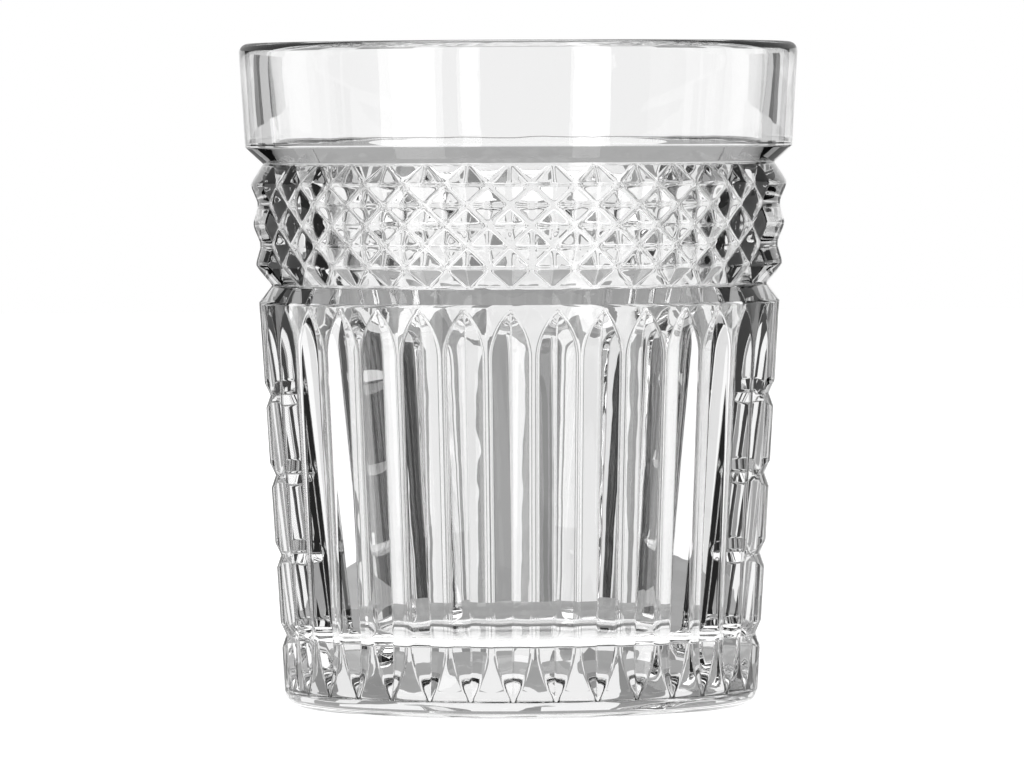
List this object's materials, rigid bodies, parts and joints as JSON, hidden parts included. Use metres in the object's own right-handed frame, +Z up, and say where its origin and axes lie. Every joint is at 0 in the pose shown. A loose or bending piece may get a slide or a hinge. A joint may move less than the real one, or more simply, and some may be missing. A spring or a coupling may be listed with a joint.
{
  "type": "whiskey tumbler",
  "caption": "Heavy pressed-glass whiskey tumbler: plain flared rim, band of cut diamonds, upright flutes with pointed arches, thick base. One casting, divided into zones.",
  "frame": {"origin": "centre of the foot, on the plane that the tumbler stands on", "axes": "+Z up the axis of the bowl, -Y towards the front, and the mould's two seams on +X and -X"},
  "size_m": [0.086, 0.086, 0.102],
  "materials": {
    "clear_glass": "clear soda-lime glass, fire-polished"
  },
  "bodies": {
    "root": {"heavy_base": "clear_glass", "fluted_wall": "clear_glass", "diamond_band": "clear_glass", "rim_band": "clear_glass"}
  },
  "joints": []
}
